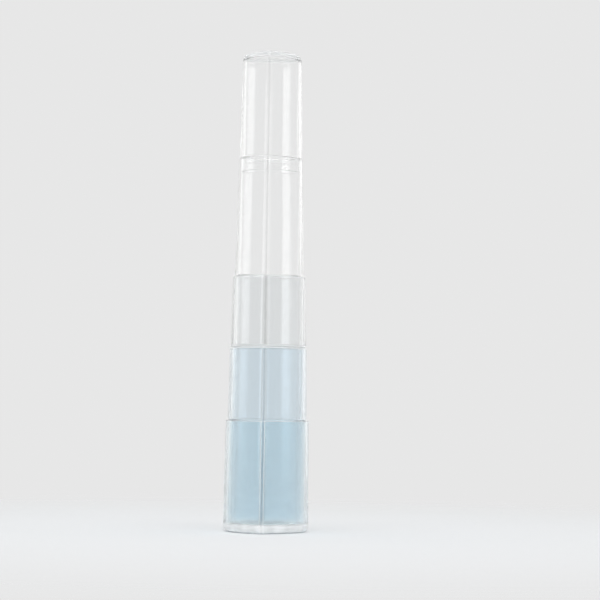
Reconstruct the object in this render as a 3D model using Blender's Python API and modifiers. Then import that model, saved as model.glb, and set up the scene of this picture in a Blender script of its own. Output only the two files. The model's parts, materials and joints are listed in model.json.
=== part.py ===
"""Stepped toothbrush holder in clear plastic: a standing base with a lift-off cap.

Metres, +Z up. The origin is the middle of the underside, and one ridge of the section faces -Y.
The holder is a stack of five drafted tubes. Each one has a shoulder that sits on the rim of the
piece below, and a narrower neck that goes down inside it. A width is the distance across the
section, which is the same in every direction.
"""

import math

import bmesh
import bpy

# Clearances
FIT_GAP = 0.0003  # beside a neck, on each side
SEAT_GAP = 0.0003  # under a shoulder
END_GAP = 0.0005  # below the end of a neck

# Section
CORNER_RADIUS = 0.0020
CORNER_STEPS = 4
SIDE_STEPS = 6

# Edges
EDGE_ROUND = 0.0002
EDGE_SEGMENTS = 2
FOOT_EDGE = 0.0020
TOP_EDGE = 0.0023
CEILING_EDGE = 0.0012
FILLET_STEPS = 4

# Height of each tier that shows
FOOT_HEIGHT = 0.0475
MIDDLE_HEIGHT = 0.0310
COLLAR_HEIGHT = 0.0301
CAP_SLEEVE_HEIGHT = 0.0504
CAP_TOP_HEIGHT = 0.0448

# Draft of each tier's outside, in degrees from upright
FOOT_DRAFT = 0.55
MIDDLE_DRAFT = 0.80
COLLAR_DRAFT = 1.20
CAP_SLEEVE_DRAFT = 1.23
CAP_TOP_DRAFT = 0.90

# Brush tube
WELL_WIDTH = 0.0272
TUBE_WALL = 0.0013
TUBE_FLOOR = 0.0012
TUBE_SHOULDER = 0.0014
SOCKET_LEDGE = 0.0005

# Middle sleeve
MIDDLE_WALL = 0.00105
MIDDLE_SHOULDER = 0.00075

# Foot cup
FOOT_WALL = 0.00135
FOOT_FLOOR = 0.0016

# Cap sleeve
SKIRT_LENGTH = 0.0297
SKIRT_WALL = 0.0010
SKIRT_SHOULDER = 0.0010
CAP_RIM_WALL = 0.0010

# Cap top
SPIGOT_LENGTH = 0.0060
SPIGOT_WALL = 0.0008
SPIGOT_SHOULDER = 0.0010
CAP_TOP_WALL = 0.0012
CAP_TOP_THICKNESS = 0.0018

# Widths across the base, from the brush well outwards
tube_neck = WELL_WIDTH + 2 * TUBE_WALL
socket = WELL_WIDTH + 2 * SOCKET_LEDGE
middle_bore = tube_neck + 2 * FIT_GAP
middle_neck = middle_bore + 2 * MIDDLE_WALL
foot_bore = middle_neck + 2 * FIT_GAP
foot_rim = foot_bore + 2 * FOOT_WALL

# Height of each shoulder, and of the brush tube's floor, above the underside
middle_seat = FOOT_HEIGHT + SEAT_GAP
collar_seat = middle_seat + MIDDLE_HEIGHT + SEAT_GAP
cap_seat = collar_seat + COLLAR_HEIGHT + SEAT_GAP
cap_top_seat = cap_seat + CAP_SLEEVE_HEIGHT + SEAT_GAP
neck_end = FOOT_FLOOR + END_GAP


def drafted(width, height, draft):
    """Width of a wall that starts at a width and leans in by its draft as it rises."""
    return width - 2 * height * math.tan(math.radians(draft))


def sixth_of_turn(centre_distance, centre_angle, radius, start_angle, steps):
    """Points of a 60 degree arc without its last one. Its centre lies off the section's middle."""
    centre_x = centre_distance * math.cos(centre_angle)
    centre_y = centre_distance * math.sin(centre_angle)
    angles = [start_angle + math.radians(60) * step / steps for step in range(steps)]
    return [(centre_x + radius * math.cos(a), centre_y + radius * math.sin(a)) for a in angles]


def rounded_triangle(width):
    """Outline of constant width: each bowed side is an arc about the opposite corner's centre."""
    centre_distance = (width - 2 * CORNER_RADIUS) / math.sqrt(3)
    outline = []
    for turn in range(3):
        corner = math.radians(-90 + 120 * turn)
        opposite = corner - math.radians(120)
        corner_start = corner - math.radians(30)
        side_start = corner + math.radians(30)
        outline += sixth_of_turn(centre_distance, corner, CORNER_RADIUS, corner_start, CORNER_STEPS)
        outline += sixth_of_turn(
            centre_distance, opposite, width - CORNER_RADIUS, side_start, SIDE_STEPS
        )
    return outline


def fillet(width, end, radius):
    """(width, height) pairs round an edge, from the wall to a face at the height end.

    The face is above the wall where radius is positive, and below it where it is negative.
    """
    pairs = []
    for step in range(FILLET_STEPS + 1):
        angle = math.radians(90) * step / FILLET_STEPS
        inwards = abs(radius) * (1 - math.cos(angle))
        pairs.append((width - 2 * inwards, end - radius * (1 - math.sin(angle))))
    return pairs


def loft(name, pairs, is_sleeve):
    """Mesh of the section carried through (width, height) pairs, up the outside and down the bore.

    A sleeve's last ring joins its first. Otherwise both end rings are filled.
    """
    shape = bmesh.new()
    rings = []
    for width, height in pairs:
        rings.append([shape.verts.new((x, y, height)) for x, y in rounded_triangle(width)])
    for ring, following in zip(rings, rings[1:] + rings[:1] if is_sleeve else rings[1:]):
        for i in range(len(ring)):
            shape.faces.new((ring[i - 1], ring[i], following[i], following[i - 1]))
    if not is_sleeve:
        shape.faces.new(rings[0])
        shape.faces.new(rings[-1])
    bmesh.ops.recalc_face_normals(shape, faces=shape.faces)
    mesh = bpy.data.meshes.new(name)
    shape.to_mesh(mesh)
    shape.free()
    mesh.shade_smooth()
    mesh.set_sharp_from_angle(angle=math.radians(30))
    return mesh


def clear_plastic(name, colour, roughness):
    """See-through moulded plastic. The base is a little frosted, and the cap is glossy."""
    material = bpy.data.materials.new(name)
    material.use_nodes = True
    shader = material.node_tree.nodes["Principled BSDF"]
    shader.inputs["Base Color"].default_value = (*colour, 1)
    shader.inputs["Metallic"].default_value = 0
    shader.inputs["Roughness"].default_value = roughness
    shader.inputs["IOR"].default_value = 1.5
    shader.inputs["Transmission Weight"].default_value = 1
    return material


def add_piece(mesh, material, seat, collection, parent):
    """Object whose origin is on the upright axis, at the height of its own seat."""
    piece = bpy.data.objects.new(mesh.name, mesh)
    mesh.materials.append(material)
    collection.objects.link(piece)
    piece.parent = parent
    piece.location.z = seat - parent.location.z
    rounding = piece.modifiers.new("rounded_edges", "BEVEL")
    rounding.width = EDGE_ROUND
    rounding.segments = EDGE_SEGMENTS
    rounding.limit_method = "ANGLE"
    rounding.angle_limit = math.radians(40)
    return piece


def add_pivot(name, height, collection):
    """Empty on the upright axis that carries the pieces of one body."""
    pivot = bpy.data.objects.new(name, None)
    collection.objects.link(pivot)
    pivot.location.z = height
    return pivot


def foot_cup_mesh():
    """Lowest tier: a cup with a thick floor."""
    foot_width = drafted(foot_rim, -FOOT_HEIGHT, FOOT_DRAFT)
    underside = fillet(foot_width, 0, -FOOT_EDGE)
    rim = [(foot_rim, FOOT_HEIGHT), (foot_bore, FOOT_HEIGHT)]
    return loft("foot_cup", underside[::-1] + rim + [(foot_bore, FOOT_FLOOR)], is_sleeve=False)


def middle_sleeve_mesh():
    """Second tier, open at both ends. Its neck reaches down to the foot's floor."""
    neck = [(middle_neck, neck_end - middle_seat), (middle_neck, 0)]
    shoulder = middle_neck + 2 * MIDDLE_SHOULDER
    rim = drafted(shoulder, MIDDLE_HEIGHT, MIDDLE_DRAFT)
    outside = neck + [(shoulder, 0), (rim, MIDDLE_HEIGHT)]
    bore = [(middle_bore, MIDDLE_HEIGHT), (middle_bore, neck_end - middle_seat)]
    return loft("middle_sleeve", outside + bore, is_sleeve=True)


def brush_tube_mesh():
    """Third tier and the brush well: a tube with a floor, and a socket for the cap in its mouth."""
    end = neck_end - collar_seat
    ledge = COLLAR_HEIGHT + SEAT_GAP - SKIRT_LENGTH - END_GAP
    shoulder = tube_neck + 2 * TUBE_SHOULDER
    rim = drafted(shoulder, COLLAR_HEIGHT, COLLAR_DRAFT)
    outside = [(tube_neck, end), (tube_neck, 0), (shoulder, 0), (rim, COLLAR_HEIGHT)]
    bore = [(socket, COLLAR_HEIGHT), (socket, ledge), (WELL_WIDTH, ledge)]
    floor = [(WELL_WIDTH, end + TUBE_FLOOR)]
    return loft("brush_tube", outside + bore + floor, is_sleeve=False)


def cap_sleeve_widths():
    """Outside and bore of the cap sleeve's rim, its shoulder, and its skirt."""
    skirt = socket - 2 * FIT_GAP
    shoulder = skirt + 2 * SKIRT_SHOULDER
    rim = drafted(shoulder, CAP_SLEEVE_HEIGHT, CAP_SLEEVE_DRAFT)
    return rim, rim - 2 * CAP_RIM_WALL, shoulder, skirt


def cap_sleeve_mesh():
    """Lower tier of the cap, open at both ends. Its skirt plugs into the brush tube's mouth."""
    rim, rim_bore, shoulder, skirt = cap_sleeve_widths()
    skirt_bore = skirt - 2 * SKIRT_WALL
    outside = [(skirt, -SKIRT_LENGTH), (skirt, 0), (shoulder, 0), (rim, CAP_SLEEVE_HEIGHT)]
    grip_end = CAP_SLEEVE_HEIGHT + SEAT_GAP - SPIGOT_LENGTH - END_GAP
    bore = [(rim_bore, CAP_SLEEVE_HEIGHT), (rim_bore, grip_end), (skirt_bore, -SKIRT_LENGTH)]
    return loft("cap_sleeve", outside + bore, is_sleeve=True)


def cap_top_mesh():
    """Closed upper tier of the cap. Its spigot fits the cap sleeve's rim."""
    spigot = cap_sleeve_widths()[1] - 2 * FIT_GAP
    shoulder = spigot + 2 * SPIGOT_SHOULDER
    top = drafted(shoulder, CAP_TOP_HEIGHT, CAP_TOP_DRAFT)
    ceiling = CAP_TOP_HEIGHT - CAP_TOP_THICKNESS
    edge_width = drafted(shoulder, CAP_TOP_HEIGHT - TOP_EDGE, CAP_TOP_DRAFT)
    outside = [(spigot, -SPIGOT_LENGTH), (spigot, 0), (shoulder, 0)]
    outside += fillet(edge_width, CAP_TOP_HEIGHT, TOP_EDGE)
    inside = fillet(top - 2 * CAP_TOP_WALL, ceiling, CEILING_EDGE)
    mouth = [(spigot - 2 * SPIGOT_WALL, -SPIGOT_LENGTH)]
    return loft("cap_top", outside[::-1] + mouth + inside, is_sleeve=False)


def build():
    for old in list(bpy.data.objects):
        bpy.data.objects.remove(old)
    holder = bpy.data.collections.new("toothbrush_holder")
    bpy.context.scene.collection.children.link(holder)

    base = add_pivot("base", 0, holder)
    cap = add_pivot("cap_lift", cap_seat, holder)
    foot_plastic = clear_plastic("foot_plastic", (0.88, 0.92, 0.93), 0.20)
    middle_plastic = clear_plastic("middle_plastic", (0.90, 0.93, 0.94), 0.20)
    tube_plastic = clear_plastic("tube_plastic", (0.91, 0.94, 0.95), 0.16)
    cap_sleeve_plastic = clear_plastic("cap_sleeve_plastic", (0.95, 0.96, 0.96), 0.06)
    cap_top_plastic = clear_plastic("cap_top_plastic", (0.95, 0.96, 0.96), 0.04)
    add_piece(foot_cup_mesh(), foot_plastic, 0, holder, base)
    add_piece(middle_sleeve_mesh(), middle_plastic, middle_seat, holder, base)
    add_piece(brush_tube_mesh(), tube_plastic, collar_seat, holder, base)
    add_piece(cap_sleeve_mesh(), cap_sleeve_plastic, cap_seat, holder, cap)
    add_piece(cap_top_mesh(), cap_top_plastic, cap_top_seat, holder, cap)


build()
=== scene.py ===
import json
import math

import bpy
import numpy as np
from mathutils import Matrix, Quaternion, Vector


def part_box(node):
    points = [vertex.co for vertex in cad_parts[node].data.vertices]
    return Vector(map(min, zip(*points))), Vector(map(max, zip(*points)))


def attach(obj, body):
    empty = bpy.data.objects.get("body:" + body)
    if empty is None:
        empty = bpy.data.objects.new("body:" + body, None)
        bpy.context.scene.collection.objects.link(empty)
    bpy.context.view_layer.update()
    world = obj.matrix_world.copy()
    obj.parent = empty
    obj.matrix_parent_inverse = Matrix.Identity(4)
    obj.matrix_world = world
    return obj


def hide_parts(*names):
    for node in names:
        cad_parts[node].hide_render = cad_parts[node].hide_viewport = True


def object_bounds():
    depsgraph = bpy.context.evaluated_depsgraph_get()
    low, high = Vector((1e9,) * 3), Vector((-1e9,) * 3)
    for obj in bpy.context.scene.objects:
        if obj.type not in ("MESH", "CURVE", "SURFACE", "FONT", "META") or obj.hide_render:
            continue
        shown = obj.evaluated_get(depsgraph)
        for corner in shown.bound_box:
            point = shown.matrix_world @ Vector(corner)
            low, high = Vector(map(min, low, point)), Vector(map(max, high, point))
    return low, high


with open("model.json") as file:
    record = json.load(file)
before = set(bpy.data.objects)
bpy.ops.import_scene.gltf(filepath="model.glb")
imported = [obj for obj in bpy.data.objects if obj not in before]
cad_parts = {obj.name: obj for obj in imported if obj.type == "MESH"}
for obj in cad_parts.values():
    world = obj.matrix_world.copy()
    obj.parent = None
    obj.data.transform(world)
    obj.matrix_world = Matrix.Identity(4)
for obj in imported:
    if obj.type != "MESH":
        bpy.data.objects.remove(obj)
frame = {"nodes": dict(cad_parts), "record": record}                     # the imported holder: five nested tubes on two bodies
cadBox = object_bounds()
bodyOf = {node: body for body, nodes in frame["record"]["behaviour"]["bodies"].items() for node in nodes}
print("frame loaded:", ", ".join(sorted(frame["nodes"])))

# The section: a rounded triangle of constant width, with one ridge to the front
section = {
    "ridgeRadius": 0.0020,            # outside
    "boreRidgeRadius": 0.0009,        # inside, so that the wall is about even round a ridge
    "ridgePoints": 20,                # points over the 60 degrees that a ridge turns
    "sidePoints": 36,                 # points over the 60 degrees that a bowed side turns
}
fits = {
    "besideNeck": 0.0003,
    "underShoulder": 0.0003,
    "underNeck": 0.0005,
}
meshing = {
    "arcSteps": 8,                    # faces round each rounded rim or edge
    "support": 0.00008,               # a ring this close to each arc keeps the walls straight
    "spacing": 0.0016,                # longest step along a straight wall
    "discRings": 24,
    "discSpread": 1.3,                # above 1, a disc's rings are closer at its middle
    "inset": 2,                       # a disc starts this many roundings inside its edge
    "wideInset": 1.5,                 # and where the rounding is wide, as at the foot and the top
    "sameHeight": 1e-7,
}


def outlineDirections():
    # Angles that the outline faces, once round. The six sectors of 60 degrees start at the front
    # ridge and are ridge, side, ridge, side, ridge, side. Each also has the angle of its middle.
    counts = [section["ridgePoints"], section["sidePoints"]] * 3
    faced = [-120 + 60 * (sector + np.arange(n) / n) for sector, n in enumerate(counts)]
    middle = np.repeat(-90 + 60 * np.arange(6), counts)
    return np.radians(np.concatenate(faced)), np.radians(middle), np.repeat(np.arange(6) % 2 == 0, counts)


def sectionGrid(rows):
    # Ring of points for each row of (half width, height, ridge radius, scale). A ridge is an arc
    # about a centre near its own corner, and a side is an arc about the opposite corner's centre,
    # so their radii add up to the width. The second grid is each point's distance along the
    # outline from the nearest ridge's middle, or 1 on a disc. The third is 1 outside and 0 in
    # the bore.
    half, height, radius, scale = rows.T[:, :, None]
    faced, middle, isRidge = outlineDirections()
    centre = 2 * (half - radius) / math.sqrt(3) * np.where(isRidge, 1, -1)
    reach = np.where(isRidge, radius, 2 * half - radius)
    x = scale * (centre * np.cos(middle) + reach * np.cos(faced))
    y = scale * (centre * np.sin(middle) + reach * np.sin(faced))
    turn = np.abs(faced - middle)
    offRidge = np.where(isRidge, reach * turn, radius * math.pi / 6 + reach * (math.pi / 6 - turn))
    offRidge = np.where(scale < 1, 1, offRidge)
    skin = (radius - section["boreRidgeRadius"]) / (section["ridgeRadius"] - section["boreRidgeRadius"])
    return np.stack([x, y, np.broadcast_to(height, x.shape)], axis=-1), offRidge, skin + 0 * x


def roundedPath(corners):
    # Rows along a path through (half width, height, rounding, ridge radius) corners, worked out as
    # complex numbers, half width + height i. An arc replaces each corner that has a rounding, and
    # straight runs are split evenly.
    points = np.array([complex(half, height) for half, height, _, _ in corners])
    bends = [points[:1]]
    for before, corner, after, (_, _, rounding, _) in zip(points, points[1:], points[2:], corners[1:]):
        arriving = (corner - before) / abs(corner - before)
        leaving = (after - corner) / abs(after - corner)
        turn = np.angle(leaving / arriving)
        start = corner - arriving * rounding * math.tan(abs(turn) / 2)
        centre = start + arriving * 1j * np.sign(turn) * rounding
        angles = np.linspace(0, turn, meshing["arcSteps"] + 1 if rounding else 1)
        bends.append(centre + (start - centre) * np.exp(1j * angles))
    bends.append(points[-1:])
    radii = [radius for _, _, _, radius in corners]
    places, ridges = [bends[0]], [np.full(1, radii[0])]
    for last, following, radius, nextRadius in zip(bends, bends[1:], radii, radii[1:]):
        run = following[0] - last[-1]
        inner = abs(run) - 2 * meshing["support"]
        steps = max(1, math.ceil(inner / meshing["spacing"]))
        along = np.linspace(0, 1, steps + 1) if inner > meshing["support"] else np.zeros(0)
        places += [last[-1] + run / abs(run) * (meshing["support"] + inner * along), following]
        ridges += [radius + (nextRadius - radius) * along, np.full(len(following), nextRadius)]
    path = np.concatenate(places)
    return np.column_stack([path.real, path.imag, np.concatenate(ridges), np.ones(len(path))])


def discRows(edgeRow, outwards):
    # Rings of a flat disc between the axis and a path's end row
    shares = np.linspace(0, 1, meshing["discRings"] + 1)[1:-1] ** meshing["discSpread"]
    rows = np.repeat(edgeRow[None], len(shares), axis=0)
    rows[:, 3] = shares if outwards else shares[::-1]
    return rows


def newPiece(name, node, rows, isSleeve, gate=None):
    # Surface swept through the rows. A sleeve's last ring joins its first. Otherwise the end rings
    # are closed with a fan to a point on the axis. A gate sinks a round dimple into the face at its
    # height: a raised cosine of the distance from the axis.
    rings, offRidge, skin = sectionGrid(rows)
    rowCount, ringCount = rings.shape[:2]
    index = np.arange(rowCount * ringCount).reshape(rowCount, ringCount)
    ahead = np.roll(index, -1, axis=1)
    below, above = (index, np.roll(index, -1, axis=0)) if isSleeve else (index[:-1], index[1:])
    belowAhead, aboveAhead = (ahead, np.roll(ahead, -1, axis=0)) if isSleeve else (ahead[:-1], ahead[1:])
    faces = np.stack([below, belowAhead, aboveAhead, above], axis=-1).reshape(-1, 4).tolist()
    points = rings.reshape(-1, 3)
    if not isSleeve:
        poles = np.array([[0, 0, rows[0, 1]], [0, 0, rows[-1, 1]]])
        points = np.concatenate([points, poles])
        first, last = len(points) - 2, len(points) - 1
        faces += [[first, b, a] for a, b in zip(index[0], ahead[0])]
        faces += [[last, a, b] for a, b in zip(index[-1], ahead[-1])]
    if gate:
        distance = np.minimum(np.hypot(points[:, 0], points[:, 1]) / gate["radius"], 1)
        onFace = np.isclose(points[:, 2], gate["height"], atol=meshing["sameHeight"])
        points[:, 2] += onFace * gate["sunk"] * (1 + np.cos(math.pi * distance)) / 2
    mesh = bpy.data.meshes.new(name)
    mesh.from_pydata(points, [], faces)
    mesh.shade_smooth()
    for label, grid in (("ridgeDistance", offRidge), ("outerSkin", skin)):
        attribute = mesh.attributes.new(label, "FLOAT", "POINT")
        attribute.data.foreach_set("value", np.resize(grid, len(points)))
    piece = bpy.data.objects.new(name, mesh)
    bpy.context.scene.collection.objects.link(piece)
    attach(piece, bodyOf[node])
    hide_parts(node)
    print(name, "made:", len(mesh.polygons), "faces")
    return piece


def drafted(width, height, draft):
    # A wall's width at a height above where it starts, as it leans in by its draft
    return width - 2 * height * math.tan(math.radians(draft))


def nodeSpan(node):
    # Width across the section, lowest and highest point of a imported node
    low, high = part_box(node)
    return high.x - low.x, low.z, high.z


# Base: foot cup, middle sleeve and brush tube, each seated in the one below
footCup = {
    "draft": 0.55,
    "wall": 0.00135,
    "floor": 0.0016,
    "footEdge": 0.0020,
    "rimRound": 0.00035,
    "floorRound": 0.0008,
    "gateRadius": 0.0026,             # dimple in the middle of the underside, left by moulding
    "gateDepth": 0.0003,
}
middleSleeve = {
    "draft": 0.80,
    "wall": 0.00105,
    "edgeRound": 0.0003,
}
brushTube = {
    "draft": 1.20,
    "wall": 0.0013,
    "floor": 0.0012,
    "socketLedge": 0.0005,
    "ledgeRound": 0.0001,
    "neckEdge": 0.0008,
    "edgeRound": 0.0003,
    "floorRound": 0.0008,
}
# Cap: lower sleeve with its skirt, and the closed top with its spigot
capSleeve = {
    "draft": 1.23,
    "skirtLength": 0.0297,
    "skirtWall": 0.0010,
    "rimWall": 0.0010,
    "edgeRound": 0.0003,
}
capTop = {
    "draft": 0.90,
    "spigotLength": 0.0060,
    "spigotWall": 0.0008,
    "wall": 0.0012,
    "thickness": 0.0018,
    "topEdge": 0.0023,
    "ceilingEdge": 0.0012,
    "edgeRound": 0.0003,
    "gateRadius": 0.0018,
    "gateDepth": 0.0002,
}


def makeFootCup():
    width, low, rim = nodeSpan("foot_cup")
    rimWidth = drafted(width, rim, footCup["draft"])
    bore = rimWidth / 2 - footCup["wall"]
    floor = footCup["floor"]
    edge = footCup["footEdge"]
    outside, inside = section["ridgeRadius"], section["boreRidgeRadius"]
    path = roundedPath([
        (width / 2 - meshing["wideInset"] * edge, low, 0, outside),
        (width / 2, low, edge, outside),
        (rimWidth / 2, rim, footCup["rimRound"], outside),
        (bore, rim, footCup["rimRound"], inside),
        (bore, floor, footCup["floorRound"], inside),
        (bore - meshing["inset"] * footCup["floorRound"], floor, 0, inside),
    ])
    rows = np.concatenate([discRows(path[0], outwards=True), path, discRows(path[-1], outwards=False)])
    gate = {"height": low, "radius": footCup["gateRadius"], "sunk": footCup["gateDepth"]}
    return newPiece("footCup", "foot_cup", rows, isSleeve=False, gate=gate), bore, rim


def makeMiddleSleeve(footBore, footRim):
    width, low, rim = nodeSpan("middle_sleeve")
    seat = footRim + fits["underShoulder"]
    neck = footBore - fits["besideNeck"]
    bore = neck - middleSleeve["wall"]
    rimHalf = drafted(width, rim - seat, middleSleeve["draft"]) / 2
    rounding = middleSleeve["edgeRound"]
    outside, inside = section["ridgeRadius"], section["boreRidgeRadius"]
    path = roundedPath([
        (neck, (low + seat) / 2, 0, outside),
        (neck, seat, rounding, outside),
        (width / 2, seat, rounding, outside),
        (rimHalf, rim, rounding, outside),
        (bore, rim, rounding, inside),
        (bore, low, rounding, inside),
        (neck, low, rounding, outside),
        (neck, (low + seat) / 2 - meshing["spacing"], 0, outside),
    ])
    return newPiece("middleSleeve", "middle_sleeve", path, isSleeve=True), bore, rim


def makeBrushTube(middleBore, middleRim):
    width, low, rim = nodeSpan("brush_tube")
    seat = middleRim + fits["underShoulder"]
    neck = middleBore - fits["besideNeck"]
    well = neck - brushTube["wall"]
    socket = well + brushTube["socketLedge"]
    ledge = rim + fits["underShoulder"] - capSleeve["skirtLength"] - fits["underNeck"]
    rimHalf = drafted(width, rim - seat, brushTube["draft"]) / 2
    floor = low + brushTube["floor"]
    rounding = brushTube["edgeRound"]
    outside, inside = section["ridgeRadius"], section["boreRidgeRadius"]
    path = roundedPath([
        (neck - meshing["inset"] * brushTube["neckEdge"], low, 0, outside),
        (neck, low, brushTube["neckEdge"], outside),
        (neck, seat, rounding, outside),
        (width / 2, seat, rounding, outside),
        (rimHalf, rim, rounding, outside),
        (socket, rim, rounding, inside),
        (socket, ledge, brushTube["ledgeRound"], inside),
        (well, ledge, brushTube["ledgeRound"], inside),
        (well, floor, brushTube["floorRound"], inside),
        (well - meshing["inset"] * brushTube["floorRound"], floor, 0, inside),
    ])
    rows = np.concatenate([discRows(path[0], outwards=True), path, discRows(path[-1], outwards=False)])
    return newPiece("brushTube", "brush_tube", rows, isSleeve=False), socket, rim


def makeCapSleeve(socket, tubeRim):
    width, low, rim = nodeSpan("cap_sleeve")
    seat = tubeRim + fits["underShoulder"]
    skirt = socket - fits["besideNeck"]
    rimHalf = drafted(width, rim - seat, capSleeve["draft"]) / 2
    rimBore = rimHalf - capSleeve["rimWall"]
    skirtBore = skirt - capSleeve["skirtWall"]
    grip = rim + fits["underShoulder"] - capTop["spigotLength"] - fits["underNeck"]
    rounding = capSleeve["edgeRound"]
    outside, inside = section["ridgeRadius"], section["boreRidgeRadius"]
    path = roundedPath([
        (skirt, (low + seat) / 2, 0, outside),
        (skirt, seat, rounding, outside),
        (width / 2, seat, rounding, outside),
        (rimHalf, rim, rounding, outside),
        (rimBore, rim, rounding, inside),
        (rimBore, grip, rounding, inside),
        (skirtBore, low, rounding, inside),
        (skirt, low, rounding, outside),
        (skirt, (low + seat) / 2 - meshing["spacing"], 0, outside),
    ])
    return newPiece("capSleeve", "cap_sleeve", path, isSleeve=True), rimBore, rim


def makeCapTop(sleeveBore, sleeveRim):
    width, low, top = nodeSpan("cap_top")
    seat = sleeveRim + fits["underShoulder"]
    spigot = sleeveBore - fits["besideNeck"]
    topHalf = drafted(width, top - seat, capTop["draft"]) / 2
    mouth = spigot - capTop["spigotWall"]
    ceiling = top - capTop["thickness"]
    ceilingHalf = topHalf - capTop["wall"]
    rounding = capTop["edgeRound"]
    outside, inside = section["ridgeRadius"], section["boreRidgeRadius"]
    path = roundedPath([
        (topHalf - meshing["wideInset"] * capTop["topEdge"], top, 0, outside),
        (topHalf, top, capTop["topEdge"], outside),
        (width / 2, seat, rounding, outside),
        (spigot, seat, rounding, outside),
        (spigot, low, rounding, outside),
        (mouth, low, rounding, inside),
        (ceilingHalf, ceiling, capTop["ceilingEdge"], inside),
        (ceilingHalf - meshing["inset"] * capTop["ceilingEdge"], ceiling, 0, inside),
    ])
    rows = np.concatenate([discRows(path[0], outwards=True), path, discRows(path[-1], outwards=False)])
    gate = {"height": top, "radius": capTop["gateRadius"], "sunk": -capTop["gateDepth"]}
    return newPiece("capTop", "cap_top", rows[::-1], isSleeve=False, gate=gate), top       # outside upwards


class Sock:
    # One socket of a node tree, so that shader maths reads as Python. On values only: colours and
    # vectors go through node().

    def __init__(self, tree, link=None):
        self.tree = tree
        self.link = link

    def node(self, kind, settings=None, inputs=None, output=0):
        # Adds a node: its settings first, then the values or links of its sockets, which go by
        # name, or by number where a node has several of one name
        made = self.tree.nodes.new("ShaderNode" + kind)
        for key, value in (settings or {}).items():
            setattr(made, key, value)
        for key, value in (inputs or {}).items():
            if isinstance(value, Sock):
                self.tree.links.new(value.link, made.inputs[key])
            else:
                made.inputs[key].default_value = value
        return Sock(self.tree, made.outputs[output]) if len(made.outputs) else made

    def maths(self, operation, first, second):
        return self.node("Math", {"operation": operation}, {0: first, 1: second})

    def __add__(self, other):
        return self.maths("ADD", self, other)

    def __radd__(self, other):
        return self.maths("ADD", other, self)

    def __sub__(self, other):
        return self.maths("SUBTRACT", self, other)

    def __rsub__(self, other):
        return self.maths("SUBTRACT", other, self)

    def __mul__(self, other):
        return self.maths("MULTIPLY", self, other)

    def __rmul__(self, other):
        return self.maths("MULTIPLY", other, self)


def emptyMaterial(name):
    material = bpy.data.materials.new(name)
    material.use_nodes = True
    material.node_tree.nodes.clear()
    return material, Sock(material.node_tree)


def rising(nodes, value, start, end):
    # 0 below the start, 1 above the end, and smooth between them
    return nodes.node("MapRange", {"interpolation_type": "SMOOTHSTEP"},
                      {"Value": value, 1: start, 2: end, 3: 0, 4: 1})


# Patterns in the plastic, in noise cells per metre, with their stretch along the draw
pattern = {
    "cloudScale": 70,
    "scuffScale": 2600,
    "scuffStretch": 0.05,
    "scuffFrom": 0.60,                # more scuffs show as this drops
    "scuffFull": 0.72,
    "rippleScale": 160,
    "rippleStretch": 0.25,
    "rippleDepth": 0.0002,
    "ridgeShadeCore": 0.4,                # share of the painted ridge shade's width at full strength
    "flankFrom": 0.0005,              # painted highlight line beside a ridge, by its distance from the ridge's middle
    "flankTo": 0.0011,
    "bandFade": 0.0002,               # soft ends of flanks and rims
    "mottleLow": 0.65,                # painted light in the floor's mottle: lowest share, and how much the ripple adds
    "mottleAdds": 0.7,
    "paleRoughness": 0.45,
}


def band(nodes, value, start, end):
    # 1 between the start and the end, with a soft fade inside each
    fade = pattern["bandFade"]
    return rising(nodes, value, start, start + fade) * (1 - rising(nodes, value, end - fade, end))


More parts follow.
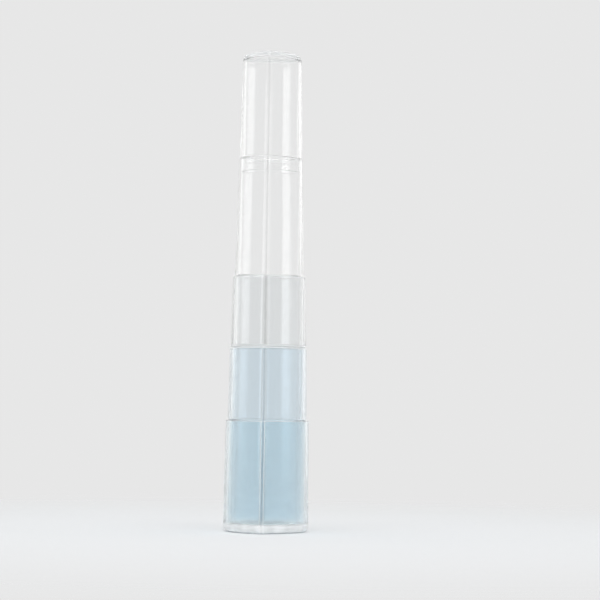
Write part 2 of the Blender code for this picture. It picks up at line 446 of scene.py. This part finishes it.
def clearPlastic(name, look, rims, floor):
    # Clear moulded plastic. Soft clouds of haze and fine scuffs along the draw lift the roughness.
    # Painted shade: the tint is greyer along each ridge. Painted light: rims, floors and the flanks
    # of the foot's ridges are mixed towards a pale shader, for light that gathers there: rims as bands
    # of height on the outer skin, flanks as painted highlight lines on each side of the ridge shade,
    # and a floor in a mottle that fades upwards, over which the tint fades to white too.
    material, nodes = emptyMaterial(name)
    place = nodes.node("TexCoord", output=3)        # Object coordinates
    cloud = nodes.node("TexNoise", None, {"Vector": place, "Scale": pattern["cloudScale"], "Detail": 3})
    drawn = nodes.node("Mapping", None, {"Vector": place, "Scale": (1, 1, pattern["scuffStretch"])})
    grain = nodes.node("TexNoise", None, {"Vector": drawn, "Scale": pattern["scuffScale"], "Detail": 2})
    scuff = rising(nodes, grain, pattern["scuffFrom"], pattern["scuffFull"])
    rough = look["roughness"] + look["haze"] * cloud + look["scuffs"] * scuff
    flow = nodes.node("Mapping", None, {"Vector": place, "Scale": (1, 1, pattern["rippleStretch"])})
    ripple = nodes.node("TexNoise", None, {"Vector": flow, "Scale": pattern["rippleScale"], "Detail": 1})
    bump = nodes.node("Bump", None, {
        "Height": ripple,
        "Strength": look["ripple"],
        "Distance": pattern["rippleDepth"],
    })
    fromRidge = nodes.node("Attribute", {"attribute_name": "ridgeDistance"}, output=2)
    width = look["ridgeShadeWidth"]
    # painted shade: the tint turns to the greyer ridge-shade tint near each ridge
    tint = nodes.node("Mix", {"data_type": "RGBA"}, {
        0: 1 - rising(nodes, fromRidge, pattern["ridgeShadeCore"] * width, width),
        6: (*look["tint"], 1),
        7: (*look["ridgeShadeTint"], 1),
    }, output=2)
    height = nodes.node("SeparateXYZ", None, {0: place}, output=2)
    if floor:
        # painted light: near a floor the tint fades to white
        nearFloor = 1 - rising(nodes, height, floor["top"], floor["fadedAt"])
        tint = nodes.node("Mix", {"data_type": "RGBA"}, {0: nearFloor, 6: tint, 7: (1, 1, 1, 1)}, output=2)
    clear = nodes.node("BsdfPrincipled", None, {
        "Base Color": tint,
        "Roughness": rough,
        "IOR": look["ior"],
        "Transmission Weight": look["clearness"],
        "Normal": bump,
    })
    pale = nodes.node("BsdfPrincipled", None, {
        "Base Color": (*look["paleTint"], 1),
        "Roughness": pattern["paleRoughness"],
        "IOR": look["ior"],
        "Transmission Weight": look["paleClearness"],
        "Normal": bump,
    })
    skin = nodes.node("Attribute", {"attribute_name": "outerSkin"}, output=2)
    fade = pattern["bandFade"]
    # the milk is the plastic's own even haze; the bands added to it below are painted light
    milkAndPaintedLight = look["milk"]
    # painted light: pale bands at rims and edges, on the outer skin
    for low, high, strength in rims:
        milkAndPaintedLight = milkAndPaintedLight + strength * (band(nodes, height, low - fade, high + fade) * skin)
    if look["flankHighlight"]:
        # painted highlight lines beside each ridge
        beside = band(nodes, fromRidge, pattern["flankFrom"], pattern["flankTo"])
        milkAndPaintedLight = milkAndPaintedLight + look["flankHighlight"] * (beside * skin)
    if floor and floor["strength"]:
        # painted light: a pale mottled band at the floor
        mottle = pattern["mottleLow"] + pattern["mottleAdds"] * ripple
        milkAndPaintedLight = milkAndPaintedLight + floor["strength"] * (mottle * (nearFloor * skin))
    shader = nodes.node("MixShader", None, {0: milkAndPaintedLight, 1: clear, 2: pale})
    nodes.node("OutputMaterial", None, {"Surface": shader})
    return material


# Finishes, from the foot up to the glossy top
looks = {}
looks["footCup"] = {
    "tint": (0.880, 0.948, 0.974),    # each wall deepens it, so the nested tiers darken downwards
    "paleTint": (0.95, 0.965, 0.97),
    "paleClearness": 0.10,
    # painted shade along each ridge: its colour and width
    "ridgeShadeTint": (0.79, 0.85, 0.88),
    "ridgeShadeWidth": 0.0005,
    "roughness": 0.03,
    "haze": 0.06,
    "scuffs": 0.10,
    "ripple": 0.10,
    "ior": 1.50,
    "clearness": 0.99,
    "milk": 0.01,
    # strength of the painted highlight lines beside the foot's ridges
    "flankHighlight": 0.36,
}
looks["middleSleeve"] = {
    **looks["footCup"],
    "tint": (0.895, 0.952, 0.988),
    "ridgeShadeTint": (0.85, 0.90, 0.94),
    "milk": 0.008,
    "flankHighlight": 0,
}
looks["brushTube"] = {
    **looks["middleSleeve"],
    "tint": (0.931, 0.942, 0.947),
    "ridgeShadeTint": (0.78, 0.79, 0.79),
    "ridgeShadeWidth": 0.0013,
}
looks["capSleeve"] = {
    **looks["footCup"],
    "tint": (0.992, 0.994, 0.994),
    "ridgeShadeTint": (0.93, 0.93, 0.93),
    "ridgeShadeWidth": 0.0006,
    "roughness": 0.01,
    "haze": 0.03,
    "clearness": 0.995,
    "milk": 0.004,
    "flankHighlight": 0,
}
looks["capTop"] = looks["capSleeve"]

foot, footBore, footRim = makeFootCup()
middle, middleBore, middleRim = makeMiddleSleeve(footBore, footRim)
tube, socketHalf, tubeRim = makeBrushTube(middleBore, middleRim)
sleeve, sleeveBore, sleeveRim = makeCapSleeve(socketHalf, tubeRim)
closedTop, topHeight = makeCapTop(sleeveBore, sleeveRim)
bands = {                             # how far each band of painted light reaches from a rim, edge or the top
    "rim": 0.0004,
    "lowerEdge": 0.0008,
    "topEdge": 0.0022,
    "topFace": 0.0003,                # the top's face itself stays clear
}
rims = {                              # painted light in pale bands: lowest height, highest height and strength
    "footCup": [(footRim - bands["rim"], footRim, 0.25)],
    "middleSleeve": [(middleRim - bands["rim"], middleRim, 0.8)],
    "brushTube": [
        (middleRim, middleRim + bands["lowerEdge"], 0.6),
        (tubeRim - bands["rim"], tubeRim, 0.2),
    ],
    "capSleeve": [(sleeveRim - bands["rim"], sleeveRim, 0.1)],
    "capTop": [(topHeight - bands["topEdge"], topHeight - bands["topFace"], 0.5)],
}
floors = {                            # painted light near each floor: palest below the first height, and fading up to the second
    "footCup": {"top": 0.0026, "fadedAt": 0.0046, "strength": 0.85},
    "middleSleeve": {"top": 0.0040, "fadedAt": 0.0065, "strength": 0},
    "brushTube": {"top": 0.0040, "fadedAt": 0.0065, "strength": 0},
}
for piece in (foot, middle, tube, sleeve, closedTop):
    piece.data.materials.append(clearPlastic(
        piece.name + "Plastic", looks[piece.name], rims[piece.name], floors.get(piece.name)))
print("plastics made")


# Studio: pale floor that fades into a pale surround, six soft boxes far out and one overhead
studio = {
    "pale": (0.80, 0.80, 0.80),       # surround as it is seen, directly or in the plastic
    "surroundLight": 0.72,            # surround as it lights the floor and the holder
    "floorColour": (0.825, 0.84, 0.852),
    "floorRoughness": 0.9,
    "floorRadius": 0.6,
    "floorRings": (0.001, 0.1, 0.3, 0.6, 1.0),      # shares of the radius
    "floorSpokes": 64,
    "floorDrop": 0.0002,              # under the foot, so that the faces don't coincide
    "fadeFrom": 0.10,
    "fadeTo": 0.50,
}
softBox = {"distance": 3.0, "height": 0.28, "wide": 0.78, "tall": 0.66, "radiance": 2.4}
lamps = {
    "frontLeft": {**softBox, "turn": -37},
    "frontRight": {**softBox, "turn": 37},
    "sideLeft": {**softBox, "turn": -65, "wide": 0.55, "radiance": 1.25},
    "sideRight": {**softBox, "turn": 54, "wide": 0.23, "radiance": 0.45},
    "backLeft": {**softBox, "turn": -143, "wide": 0.42, "radiance": 0.45},
    "backRight": {**softBox, "turn": 154, "wide": 0.37, "radiance": 0.50},
    "overhead": {"turn": 0, "distance": 0.3, "height": 1.5, "wide": 1.0, "tall": 1.0, "radiance": 2.4},
}
lightPaths = {                        # light turns many times inside the rims and floors
    "max_bounces": 40,
    "transmission_bounces": 40,
    "glossy_bounces": 40,
    "diffuse_bounces": 12,
    "blur_glossy": 0,                 # blurred walls would leave the inside dark
}
camera = {
    "lens": 168,
    "sensor": 36,
    "distance": 1.2,
    "height": 0.0557,
    "azimuth": 3.7,                   # turns the front ridge a little to the left
    "aimRight": 0.0138,
    "aimHeight": 0.0994,
    "roll": 0.87,
    "farthest": 50,
}


def makeFloor():
    # Disc of rings and spokes. Its colour fades out between two distances from the holder.
    radii = studio["floorRadius"] * np.array(studio["floorRings"])
    turns = np.linspace(0, 2 * math.pi, studio["floorSpokes"], endpoint=False)
    x = radii[:, None] * np.cos(turns)
    y = radii[:, None] * np.sin(turns)
    points = np.stack([x, y, np.full_like(x, -studio["floorDrop"])], axis=-1).reshape(-1, 3)
    index = np.arange(len(points)).reshape(len(radii), -1)
    ahead = np.roll(index, -1, axis=1)
    faces = np.stack([index[:-1], index[1:], ahead[1:], ahead[:-1]], axis=-1).reshape(-1, 4)
    mesh = bpy.data.meshes.new("floor")
    mesh.from_pydata(points, [], faces.tolist() + [index[0].tolist()])
    floor = bpy.data.objects.new("floor", mesh)
    bpy.context.scene.collection.objects.link(floor)
    material, nodes = emptyMaterial("floorPaper")
    place = nodes.node("TexCoord", output=3)
    distance = nodes.node("VectorMath", {"operation": "LENGTH"}, {0: place}, output=1)
    paper = nodes.node("BsdfPrincipled", None, {
        "Base Color": (*studio["floorColour"], 1),
        "Roughness": studio["floorRoughness"],
    })
    gone = nodes.node("BsdfTransparent")
    faded = rising(nodes, distance, studio["fadeFrom"], studio["fadeTo"])
    shader = nodes.node("MixShader", None, {0: faded, 1: paper, 2: gone})
    nodes.node("OutputMaterial", None, {"Surface": shader})
    mesh.materials.append(material)


def makeSurround():
    # The world is pale wherever it is seen, also in the plastic, and lights the holder more softly
    world = bpy.data.worlds.new("surround")
    bpy.context.scene.world = world
    world.use_nodes = True
    world.node_tree.nodes.clear()
    nodes = Sock(world.node_tree)
    path = nodes.node("LightPath").link.node.outputs
    byCamera, byGloss, throughGlass = [Sock(world.node_tree, path[kind]) for kind in (
        "Is Camera Ray", "Is Glossy Ray", "Is Transmission Ray")]
    isSeen = nodes.maths("MAXIMUM", nodes.maths("MAXIMUM", byCamera, byGloss), throughGlass)
    light = nodes.node("Background", None, {"Color": (*[studio["surroundLight"]] * 3, 1)})
    pale = nodes.node("Background", None, {"Color": (*studio["pale"], 1)})
    shader = nodes.node("MixShader", None, {0: isSeen, 1: light, 2: pale})
    nodes.node("OutputWorld", None, {"Surface": shader})


def makeLamp(name, lamp):
    # Soft box at a turn from the camera's side, facing the middle of the holder
    light = bpy.data.lights.new(name, "AREA")
    light.shape = "RECTANGLE"
    light.size = lamp["wide"]
    light.size_y = lamp["tall"]
    light.energy = lamp["radiance"] * math.pi * lamp["wide"] * lamp["tall"]      # in watts
    box = bpy.data.objects.new(name, light)
    bpy.context.scene.collection.objects.link(box)
    turn = math.radians(camera["azimuth"] + lamp["turn"])
    box.location = (lamp["distance"] * math.sin(turn), -lamp["distance"] * math.cos(turn), lamp["height"])
    middle = (cadBox[0] + cadBox[1]) / 2
    box.rotation_euler = (middle - box.location).to_track_quat("-Z", "Y").to_euler()
    box.visible_camera = False


def makeCamera():
    data = bpy.data.cameras.new("camera")
    data.lens = camera["lens"]
    data.sensor_width = camera["sensor"]
    data.clip_end = camera["farthest"]
    seer = bpy.data.objects.new("camera", data)
    bpy.context.scene.collection.objects.link(seer)
    turn = math.radians(camera["azimuth"])
    back = np.array([math.sin(turn), -math.cos(turn), 0])
    right = np.array([math.cos(turn), math.sin(turn), 0])
    place = back * camera["distance"] + np.array([0, 0, camera["height"]])
    aim = right * camera["aimRight"] + np.array([0, 0, camera["aimHeight"]])
    seer.location = place
    look = Vector(aim - place).to_track_quat("-Z", "Y")
    seer.rotation_mode = "QUATERNION"
    seer.rotation_quaternion = look @ Quaternion((0, 0, 1), math.radians(camera["roll"]))
    bpy.context.scene.camera = seer


makeFloor()
makeSurround()
for name, lamp in lamps.items():
    makeLamp(name, lamp)
makeCamera()
bpy.context.scene.view_settings.view_transform = "Standard"
for setting, value in lightPaths.items():
    setattr(bpy.context.scene.cycles, setting, value)
print("studio made")
